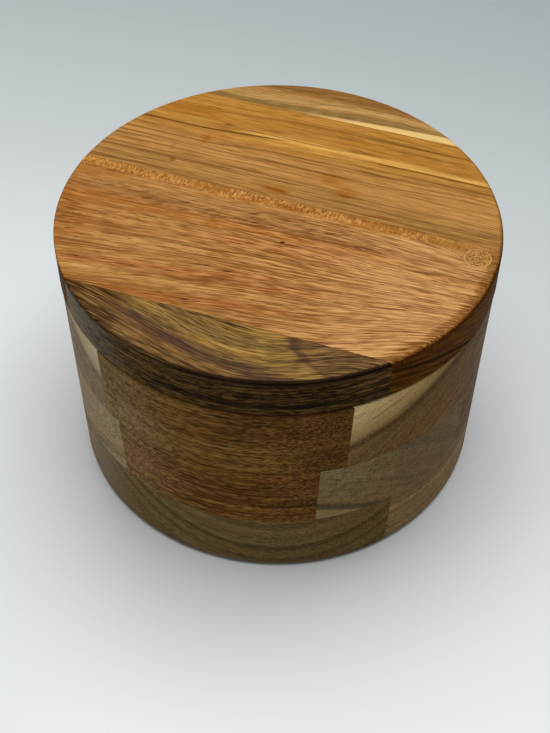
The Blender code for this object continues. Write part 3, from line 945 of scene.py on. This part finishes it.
for path, half, first, last, share in (
    (rise(x, -34, 0) * 1.8 + 26.6, 0.14, -60, -14, 0.85),
    (x * 0.004 + 27.1, 0.1, 20, 44, 0.75),
    (rise(x, -30, -8) * 1.7 + 21, 0.1, -60, 26, 0.55),
    (rise(x, 20, 42) * 1.3 + 19, 0.1, -6, 42, 0.45),
    (x * 0.006 + 12.7, 0.1, -54, -22, 0.6),
    (x * 0.002 + 36.6, 0.14, -8, 40, 0.5),
    (x * 0.01 + 24.2, 0.1, 16, 60, 0.5),
    (16.2, 0.08, -52, -30, 0.4),
):
    wood.lay((84, 44, 10), band(u - path, 0, half, 0.34) * along(x, first, last, 9) * share)
wood.lay((116, 62, 12), wood.marks(REAR_MARKS) * 0.7)
# The side tone is partly darker side grain and partly painted shade.
wood.seal((80, 46, 18), pores=0.2, side=(0.5, 0.4, 0.25))
wood.cover("lid_rear_strip")

# %% [markdown]
# The back strip comes from the tree's outside, so pale sapwood runs along it:
# a cream streak at the joint that widens to the right, and a grey one above.
# The streak isn't a piece of its own, because it grew so. It is a field of
# colour whose soft edge climbs to the right.

# %% Back strip of the lid
def back_course(x, y):
    """A slow wave: the fibres climb to the middle of the strip and sink again."""
    return rise(x, -30, 14) * 2.6 - rise(x, 14, 40) * 1.6


wood = Wood("lid_back_wood", LID_TURN, 17.3, pith=(60, -50), course=back_course, wander=2.5,
            run=1.5, fine=0.3)
x, y, z = wood.place
wood.rings(3.5, [(174, 131, 74), (155, 110, 58), (126, 87, 41)], 4, 0.6)
wood.lay((127, 100, 55), band(wood.u, 41.9, 0.6, 1.6) * 0.9)
wood.lay((119, 79, 31), band(wood.u, 44, 0.3, 1.2) * along(x, 6, 34, 8) * 0.6)
top = rise(x, -12, 32) * 1.7 + 42
cream = rise(y - top, 0.5, -0.4) * rise(x, -14, 14)
wood.lay((207, 176, 110), cream * 0.92)
wood.lay((186, 148, 92), band(wood.u, 45.2, 0.5, 1.4) * 0.65)
wood.lay((122, 84, 36), rise(y, 47.4, 51) * 0.85)
wood.grain((84, 52, 22), (206, 164, 100), lines=0.36, fibre=0.4)
wood.lay((226, 190, 122), cream * 0.55)
# The side tone is partly darker side grain and partly painted shade.
wood.seal((80, 52, 26), pores=0.15, side=(0.5, 0.42, 0.3))
wood.cover("lid_back_strip")

# %% [markdown]
# The front strip is dark heartwood. Its fibres dip to the middle and climb
# again, an olive gold field lies between two purple brown ones, and the board's
# lower layers, seen on the side, are nearly black. Each field is the distance
# to a line or a curve, frayed by streaks, because in wood such a border runs
# out along the fibres and is never clean.

# %% Front strip of the lid
FRONT_MARKS = [
    (-33, -40.2, 5, 0.8, -0.29, 0.7), (-14, -39, 6, 0.7, -0.1, 0.6), (-6, -38.6, 5, 0.5, 0, 0.8),
    (4, -38.8, 5, 0.5, 0, 0.7), (-18, -42, 6, 0.5, -0.25, 0.5), (3, -45, 6, 0.5, 0, 0.4),
    (30, -40, 3, 0.8, 0.4, 0.7), (26, -41.5, 4, 0.6, 0.3, 0.5),
]


def front_course(x, y):
    """The fibres sink to the right at 1 in 4 and bend up again past the middle."""
    past = rise(x, -6, 34) * (x + 6)
    return past * 0.42 - x * 0.27


wood = Wood("lid_front_wood", LID_TURN, 23.9, pith=(-30, 140), course=front_course, run=1.8, fine=0.34)
x, y, z = wood.place
wood.rings(3, [(176, 138, 72), (150, 114, 54), (110, 82, 44)])
olive = wood.streaks(14, 3, 2, 0.5, 3)
wood.lay((102, 82, 48), rise(olive, 0.46, 0.6) * 0.6)
mottle = noise(x / 4, y / 2.4, z, 4, 0.7) - 0.5
frayed = (wood.streaks(10, 1, 4, 0.7, 91) - 0.5) * 6
front = y + 49.6 + x * 0.27 - rise(x, -8, 14) * (x + 8) * 0.1 + frayed
wood.lay((106, 76, 46), rise(front, 1.2, -1.6) * 0.7)
right = x - 15.6 - (y + 38) * (y + 38) * 0.14 + frayed * 0.6
wood.lay((86, 60, 44), rise(right, -1.2, 1.2) * 0.75)
wood.lay((58, 34, 12), rise(x, -18, -30) * rise(wood.short, 0.36, 0.54) * 0.9)
wood.grain((38, 24, 14), (186, 148, 84), lines=0.56, fibre=0.7)
wood.lay((52, 30, 12), rise(x, -16, -28) * rise(y, -44, -38) * 0.45)
broken = rise(wood.short, 0.38, 0.54) * 0.35 + 0.65
wood.lay((62, 42, 38), band(front + mottle * 3, 0, 1, 2) * broken * rise(x, -34, -18) * 0.85)
wood.lay((58, 40, 32), band(right + mottle * 5, 1.2, 0.5, 2.2) * rise(y, -48, -43) * broken * 0.65)
wood.lay((40, 26, 18), wood.marks(FRONT_MARKS) * 0.8)
wood.lay((34, 24, 14), wood.dashes(5, 0.6, 0.36, 83) * rise(olive, 0.4, 0.52) * 0.6)
# Painted shade: the rounded front edge darkens, more strongly to the right.
edge_shade_share = rise(x, -30, 4) * 0.7 + 0.15
wood.lay((32, 16, 10), rise(reach(x, y), 54.1, 54.6) * edge_shade_share)
layer = wood.ramp(noise(x / 16, y / 16, z / 0.55, 3, 0.65),
                  [(0.36, (122, 90, 44)), (0.5, (80, 57, 25)), (0.64, (36, 24, 11))])
# Painted sheen: the side turns lighter and greyer toward the left.
layer = blend(layer, (134, 126, 110), rise(x, -14, -42) * 0.85)
layer = blend(layer, (40, 24, 10), along(x, 4, 26, 9) * 0.45)
speck = noise(x / 2.4, y / 2.4, z / 0.42, 2, 0.6)
layer = blend(layer, (20, 13, 9), rise(speck, 0.49, 0.6) * (rise(x, -40, -10) * 0.35 + 0.4))
layer = blend(layer, (140, 106, 56), rise(speck, 0.47, 0.36) * (rise(x, -40, -10) * 0.2 + 0.1))
wood.lay(layer, rise(z, 71.6, 70.8) * wood.facing_out())
# Painted shade: a thin dark line where the round meets the side.
wood.lay((18, 9, 5), band(z, 71.9, 0.1, 0.25) * edge_shade_share)
wood.lay((12, 7, 4), band(z, 64.4, 0.4, 0.9) * along(x, -6, 40, 12) * 0.7)
wood.seal((30, 20, 12), end=(0.8, 0.76, 0.7), oil=0.06)
wood.cover("lid_front_strip")

# %% [markdown]
# In the drum, each strip that shows at the front has marks that say where it
# stood in the tree. The front of the rim board is dark heartwood with a few long
# black lines close together, and a painted sheen makes it lighter and greyer to
# the left. It is seen from the side, so its lines are placed one by one in x and z.

# %% Front of the rim
RIM_FRONT_MARKS = [
    (3, 58.8, 6, 0.5, 0, 0.8), (12, 58.4, 5, 0.5, 0, 0.9), (4, 53, 6, 0.35, 0.03, 0.8),
    (6, 51.1, 7, 0.4, 0.04, 1), (2, 48.5, 5, 0.4, 0, 1), (5, 45.6, 6, 0.35, 0, 0.8),
    (-6, 56, 4, 0.4, 0.1, 0.6), (-4, 49, 3, 0.4, 0, 0.6),
]

wood = Wood("rim_front_wood", RIM_TURN, 2, pith=(-54, 160), wander=1.5)
x, y, z = wood.place
wood.rings(3, [(144, 110, 56), (128, 92, 40), (104, 68, 22)])
# Painted sheen: lighter and greyer toward the left.
wood.lay((148, 124, 90), rise(x, -8, -32) * 0.75)
wood.lay((90, 52, 16), rise(x, -10, 8) * rise(z, 48, 54) * 0.7)
wood.lay((86, 54, 20), rise(x, 12, 24) * rise(z, 52, 46) * 0.7)
wood.lay((168, 140, 98), rise(x, -4, -26) * rise(z, 54, 46) * 0.5)
wood.grain((58, 36, 12), (172, 132, 72), lines=0.44, fibre=0.8)
wood.lay((44, 24, 8), wood.marks(RIM_FRONT_MARKS, "z") * 0.85)
wood.lay((44, 25, 9), wood.dashes(5, 0.8, 0.34, 83) * rise(x, -28, -8) * 0.5)
wood.lay((74, 42, 14), wood.marks([(27, 45, 5, 3.4, -0.5, 0.8), (31, 42, 5, 2, 0, 0.6)], "z") * 0.6)
# Painted shade under the lid: the top of the rim darkens.
wood.lay((77, 41, 15), rise(z, 59.6, 61.4) * 0.6)
wood.seal((40, 24, 10), pores=0.6, oil=0.06)
wood.cover("rim_front_segment")

# %% [markdown]
# The two halves of a strip that the well cut in two are still one strip, so
# they share one wood. Here a wedge of cream sapwood runs along its top edge. In
# the tree the sapwood is a thick shell, so its edge is a curve in y and z, and
# the wedge comes out by itself where that curve meets the drum's round side.

# %% Sapwood wedges beside it
wood = Wood("rim_front_pair_wood", RIM_TURN, 9, pith=(-10, 20), wander=1.5)
x, y, z = wood.place
depth = y + 44.4
sapwood = z - 48.2 - depth * 0.78 + depth * depth * 0.0095 + wood.slow * 3 - rise(x, 0, -20) * 4
wood.rings(3.2, [(148, 122, 80), (130, 102, 62), (112, 84, 50)], 2, 0.5)
wood.lay((130, 94, 56), rise(sapwood, -8, -14) * 0.45)
wood.lay((94, 66, 33), band(sapwood, -1.6, 0.6, 1.6) * 0.8)
cream = wood.ramp(sapwood / 14, [(0, (164, 136, 90)), (0.3, (206, 178, 122)), (0.9, (246, 222, 162))])
# Painted sheen: the left block and its cream turn lighter and greyer toward the left.
wood.lay((164, 150, 126), rise(x, 0, -30) * 0.6)
cream = blend(cream, (214, 208, 178), rise(x, 0, -20) * 0.6)
wood.grain((66, 42, 18), (176, 142, 94), lines=0.34, fibre=0.5)
wood.lay(cream, rise(sapwood, -1.5, 1.3) * (0.9 - rise(wood.short, 0.46, 0.62) * 0.25))
strands = noise(x / 9, y / 9, sapwood / 0.6, 2, 0.6)
wood.lay((116, 92, 54), rise(strands, 0.5, 0.66) * rise(sapwood, -1.5, 0.5) * 0.5)
wood.seal((52, 34, 16), pores=0.35)
wood.cover("rim_front_left_block", "rim_front_right_block")

# %% [markdown]
# The middle board has a brown segment with dark lines in front. The strip behind
# it is paler and shows left and right of it, with a dark line and a sliver of
# cream along its bottom. The segment's lines are rows of a table again, and the
# line behind it is a slanting plane in the wood, as a late ring would be.

# %% Front of the middle board
wood = Wood("middle_front_wood", MIDDLE_TURN, 21, pith=(-60, 140), wander=1.5)
x, y, z = wood.place
wood.rings(2.2, [(150, 110, 54), (130, 86, 34), (102, 62, 19)])
# Painted sheen: lighter and greyer toward the left.
wood.lay((160, 130, 92), rise(x, 0, -26) * 0.7)
wood.lay((80, 54, 24), rise(wood.streaks(9, 1.6, 3, 0.65, 19), 0.5, 0.6) * rise(x, -24, -4) * 0.45)
wood.lay((92, 62, 28), rise(x, 12, 24) * 0.35)
wood.grain((62, 36, 12), (172, 126, 70), lines=0.5, fibre=0.85)
wood.lay((46, 25, 9), wood.dashes(5, 0.8, 0.34, 83) * rise(x, -28, -8) * 0.5)
level = z + wood.slow * 2.5
for place, half, first, last, share in (
    (30.5, 0.1, -4, 18, 0.7), (32.6, 0.1, -2, 14, 0.5), (28.4, 0.1, 4, 22, 0.5),
    (26.2, 0.3, 14, 24, 0.6), (22.8, 0.1, -22, 24, 0.5), (38.6, 0.1, -28, -14, 0.4),
    (34.2, 0.1, 0, 14, 0.5), (31.6, 0.1, 6, 16, 0.5),
):
    wood.lay((50, 28, 9), band(level, place, half, 0.5) * along(x, first, last, 6) * share)
wood.seal((40, 22, 8), pores=0.6, oil=0.06)
wood.cover("middle_front_segment")

wood = Wood("middle_front_arc_wood", MIDDLE_TURN, 24, pith=(-81, -39), wander=1.5)
x, y, z = wood.place
wood.rings(5, [(158, 138, 102), (144, 124, 88), (126, 107, 78)])
wood.lay((108, 92, 70), rise(noise(x / 6, y / 6, z / 3, 3, 0.6), 0.46, 0.62) * 0.45)
# Painted sheen: lighter and greyer toward the left.
wood.lay((184, 164, 128), rise(x, 0, -30) * 0.8)
wood.lay((122, 100, 74), rise(x, 30, 48) * 0.4)
height = z - 24 + (y + 48) * 0.6 + wood.slow * 2
wood.lay((158, 126, 78), band(height, 3.4, 0.5, 1.4) * 0.5)
wood.grain((76, 60, 38), (172, 152, 108), lines=0.4, fibre=0.5)
clear = rise(x, -24, 10) * 0.5 + 0.5
wood.lay((162, 140, 98), rise(height, 0.6, -0.8) * clear * 0.55)
wood.lay((68, 58, 40), band(height, 1, 0.3, 1.6) * clear * 0.65)
wood.seal((60, 48, 30), pores=0.35)
wood.cover("middle_front_arc")

# %% [markdown]
# The base board's rings slant, and where they meet its round side they draw
# nested arcs. The arcs could be drawn on the side as curves, but a tree's middle
# set far off and slanting gives them with the same rings as in every other
# strip. The strip behind the front one is paler.

# %% Front of the base
wood = Wood("base_front_wood", BASE_TURN, 36, pith=(-248, 239), dive=-0.255, wander=1)
wood.rings(3, [(132, 110, 72), (126, 103, 64), (116, 91, 54)])
wood.grain((60, 46, 22), (156, 130, 82), lines=0.3, fibre=0.5)
ring = wood.ring + (wood.short - 0.5) * 1.5
for place, half, share in (
    (304.1, 0.2, 0.4), (300, 0.3, 0.5), (292.8, 0.3, 0.3), (296.6, 0.2, 0.2), (308.3, 0.2, 0.25),
):
    wood.lay((58, 42, 18), band(ring, place, half, 1) * share)
wood.lay((126, 74, 34), wood.marks([(6, 5.6, 6, 1.6, 0, 0.7)], "z") * 0.6)
# Painted sheen: lighter and greyer toward the left.
wood.lay((152, 144, 128), rise(wood.x, -22, -46) * 0.65)
wood.seal((50, 38, 18))
wood.cover("base_front_strip")

wood = Wood("base_inner_wood", BASE_TURN, 39, pith=(-20, 150), wander=1.5)
wood.rings(4, [(180, 156, 118), (160, 136, 96), (136, 112, 77)])
wood.grain((84, 58, 32), (196, 168, 120), lines=0.34, fibre=0.5)
level = wood.z + wood.slow * 2.5
wood.lay((112, 70, 36), band(level, 12.2, 0.3, 1) * along(wood.x, 38, 46, 6) * 0.4)
wood.lay((112, 90, 70), rise(level, 15, 19) * 0.5)
wood.seal((66, 46, 26))
wood.cover("base_inner_front_strip")

# %% [markdown]
# The strips at the back are plainer, and each is a row of a table: its board's
# turn, its seed, where the tree's middle lay, the colours of its rings, and the
# pieces that it is. The table keeps what differs and the loop what they share.

# %% Plain strips of the drum
for name, turn, seed, pith, tones, strips in (
    ("rim_middle_wood", RIM_TURN, 15, (10, 150), [(142, 112, 72), (120, 92, 54), (96, 70, 38)],
     ["rim_left_block", "rim_right_block"]),
    ("rim_back_wood", RIM_TURN, 18, (40, -80), [(170, 128, 76), (148, 106, 58), (118, 80, 40)],
     ["rim_back_arc"]),
    ("middle_pair_wood", MIDDLE_TURN, 30, (0, -90), [(138, 112, 76), (116, 90, 58), (94, 70, 42)],
     ["middle_left_block", "middle_right_block"]),
    ("middle_back_wood", MIDDLE_TURN, 33, (60, 120), [(124, 82, 44), (102, 64, 32), (78, 46, 22)],
     ["middle_back_arc"]),
    ("base_inner_back_wood", BASE_TURN, 42, (0, -80), [(146, 112, 68), (124, 92, 52), (100, 70, 38)],
     ["base_inner_back_strip"]),
    ("base_back_wood", BASE_TURN, 45, (20, 90), [(160, 130, 88), (138, 108, 68), (114, 86, 50)],
     ["base_back_strip"]),
):
    wood = Wood(name, turn, seed, pith)
    wood.rings(3.5, tones)
    wood.grain((64, 42, 20), (180, 144, 94), lines=0.4, fibre=0.55)
    wood.seal((50, 32, 16))
    wood.cover(*strips)

# %% [markdown]
# The plug is cut across the grain, so it shows rings and open pores as specks.
# They are laid round its own centre, because it was cut from other wood than
# the board that it closes.

# %% Plug
wood = Wood("plug_wood", 0, 51)
x, y = wood.x - PIVOT_X / MM, wood.y
specks = noise(x / 0.34, y / 0.34, wood.z, 3, 0.6)
wood.colour = wood.ramp(specks, [(0.34, (196, 150, 88)), (0.5, (156, 110, 54)), (0.66, (98, 64, 26))])
ripple = wood.node("ShaderNodeMath", {"operation": "SINE"}, reach(x + 1.2, y - 0.6) * 7)
wood.lay((112, 76, 34), rise(ripple, 0.2, 1) * 0.2)
plug_ring = PLUG_RADIUS / MM
edge = rise(reach(x, y), plug_ring - 0.5, plug_ring - 0.1)
wood.lay((208, 164, 104), edge * rise(specks, 0.4, 0.56) * 0.7)
wood.surface(Base_Color=wood.colour, Roughness=0.6, Specular_IOR_Level=0.04)
wood.cover("pivot_plug")

# %% [markdown]
# The screw and its washer are zinc plated and a little dull, and the magnets are
# nickel plated. Both are plain metal, and a fine noise in the roughness keeps
# them from looking like mirrors, which is enough for parts as small as these.

# %% Metal
for slot, tone, rough, names in (
    ("zinc_steel", (196, 194, 188), 0.28, ["pivot_screw", "pivot_washer"]),
    ("nickel_plate", (208, 204, 196), 0.18, ["box_magnet", "lid_magnet"]),
):
    metal = Finish(slot)
    place = metal.node("ShaderNodeTexCoord", {}, output="Object")
    grit = metal.node("ShaderNodeTexNoise", {}, Vector=place, Scale=1800, Detail=3)
    metal.surface(Base_Color=paint(*tone), Metallic=1, Roughness=rough + grit * 0.18)
    metal.cover(*names, slot=slot)

# %% [markdown]
# The camera stands in front and above, where the photograph was taken from. Its
# place and its lens were fitted to the outline of the box.
# A wide soft lamp behind and above gives the top its light and leaves the front
# of the drum in its own soft shade, and the even world fills the rest.

# %% Camera and lamps
CAMERA_PLACE = Vector((69.70, -221.19, 272.72)) * MM
CAMERA_AIM = Vector((4.523, -16.426, 36.0)) * MM
CAMERA_ROLL = math.radians(0.415)
CAMERA_LENS = 60.8
SENSOR_WIDTH = 36.0
NEAREST_SEEN = 0.01
LAMP_TONE = 255, 253, 250


def look(place, aim):
    """The turn that points an object's own -Z from its place at an aim."""
    return (Vector(aim) - Vector(place)).to_track_quat("-Z", "Y")


camera = put("camera", bpy.data.cameras.new("camera"))
camera.data.lens = CAMERA_LENS
camera.data.sensor_width = SENSOR_WIDTH
camera.data.clip_start = NEAREST_SEEN
camera.location = CAMERA_PLACE
camera.rotation_mode = "QUATERNION"
camera.rotation_quaternion = look(CAMERA_PLACE, CAMERA_AIM) @ Quaternion((0, 0, 1), CAMERA_ROLL)
bpy.context.scene.camera = camera
print("camera lens", CAMERA_LENS, "mm, place", [round(value, 3) for value in camera.location])

for name, place, aim, size, power in (
    ("window", (0, 0.12, 0.95), (0, 0, 0), 0.9, 11.0),
    ("fill", (-0.85, -0.25, 0.42), (0, 0, 0.03), 0.7, 1.2),
):
    lamp = put(name, bpy.data.lights.new(name, "AREA"))
    lamp.data.size = size
    lamp.data.energy = power
    lamp.data.color = paint(*LAMP_TONE)[:3]
    lamp.location = place
    lamp.rotation_euler = look(place, aim).to_euler()

# %% [markdown]
# The camera sees a plain pale wall behind the table, while the wood is lit by
# a softer sky. Lamps bright enough to whiten a wall would burn out the wood, so
# the wall is shown to the camera alone. The table fades out at a distance, so
# no edge of it shows.

# %% World and table
FLOOR_HALF = 2.0
FLOOR_DROP = 0.1 * MM
SKY_STRENGTH = 0.2

world = bpy.data.worlds.new("studio")
world.use_nodes = True
nodes, links = world.node_tree.nodes, world.node_tree.links
sky = nodes["Background"]
sky.inputs["Color"].default_value = paint(236, 242, 246)
sky.inputs["Strength"].default_value = SKY_STRENGTH
wall = nodes.new("ShaderNodeBackground")
wall.inputs["Color"].default_value = paint(190, 198, 200)
seen = nodes.new("ShaderNodeLightPath")
either = nodes.new("ShaderNodeMixShader")
for output, socket in (
    (seen.outputs["Is Camera Ray"], either.inputs["Fac"]),
    (sky.outputs["Background"], either.inputs[1]),
    (wall.outputs["Background"], either.inputs[2]),
    (either.outputs["Shader"], nodes["World Output"].inputs["Surface"]),
):
    links.new(output, socket)
bpy.context.scene.world = world

corners = [(x * FLOOR_HALF, y * FLOOR_HALF, -FLOOR_DROP) for x, y in ((-1, -1), (1, -1), (1, 1), (-1, 1))]
floor = put("floor", bpy.data.meshes.new("floor"))
floor.data.from_pydata(corners, [], [(0, 1, 2, 3)])
table = Finish("table")
across, depth, _ = split(table.node("ShaderNodeTexCoord", {}, output="Object"))
# Painted shade: the table darkens toward the back and, near the box, a little to the left.
tone = blend((228, 232, 233), (152, 162, 166), rise(depth, -0.16, 0.3))
tone = blend(tone, (212, 219, 221), rise(across, 0.04, -0.09) * rise(depth, 0.1, 0) * 0.7)
far = rise(reach(across, depth), 1.1, 0.42)
table.surface(Base_Color=tone, Roughness=0.6, Specular_IOR_Level=0.2, Alpha=far)
floor.data.materials.append(table.material)

bpy.context.scene.view_settings.view_transform = "Standard"
